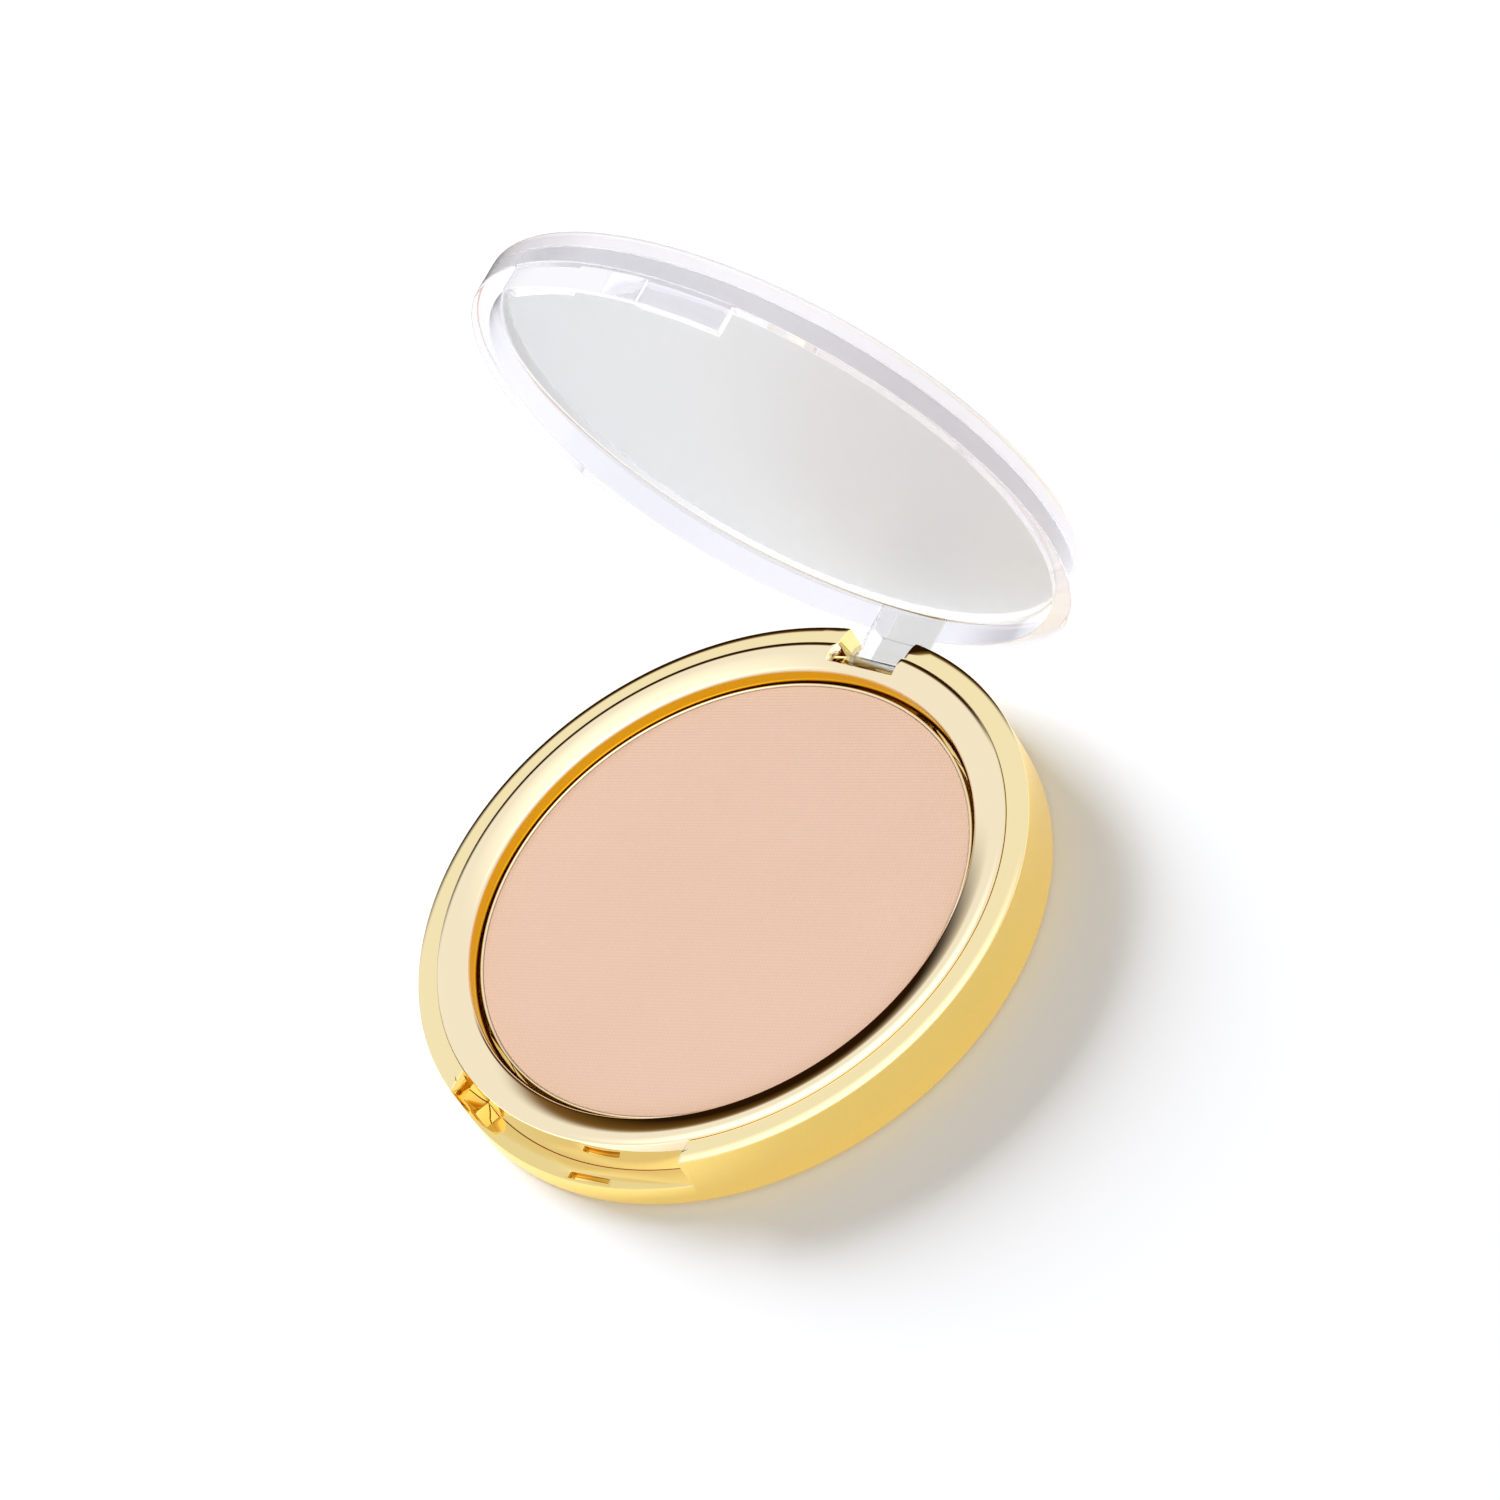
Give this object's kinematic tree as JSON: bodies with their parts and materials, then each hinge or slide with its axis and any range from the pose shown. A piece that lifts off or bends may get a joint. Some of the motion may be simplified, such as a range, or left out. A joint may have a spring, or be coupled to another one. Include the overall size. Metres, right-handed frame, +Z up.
{
  "type": "powder compact",
  "caption": "Round pressed-powder compact: gold base with a bright inner frame, a metal pan of powder and a clear hinged lid.",
  "frame": {"origin": "middle of the flat underside", "axes": "+Z up, away from what the compact stands on; +Y towards the hinge; -Y towards the thumb recess; +X along the hinge pin"},
  "size_m": [0.074, 0.0806, 0.0759],
  "materials": {
    "satin_gold": "satin gold metallised ABS",
    "polished_gold": "mirror-bright gold metallised ABS",
    "pan_metal": "plain pressed sheet",
    "powder": "matt pressed powder with a fine woven emboss",
    "pad_foam": "matt double-sided pad",
    "label_paper": "blank satin label",
    "pin_steel": "drawn steel",
    "clear_plastic": "polished clear moulding"
  },
  "bodies": {
    "base": {"base_shell": "satin_gold", "inner_frame": "polished_gold", "powder_pan": "pan_metal", "pressed_powder": "powder", "pan_pad": "pad_foam", "base_label": "label_paper", "hinge_pin": "pin_steel"},
    "lid": {"lid": "clear_plastic"}
  },
  "joints": [
    {"name": "lid_hinge", "type": "hinge", "parent": "base", "child": "lid", "pos_m": [0, 0.03488, 0.00362], "axis": [-1, 0, 0], "range_deg": [-84, 11]}
  ]
}
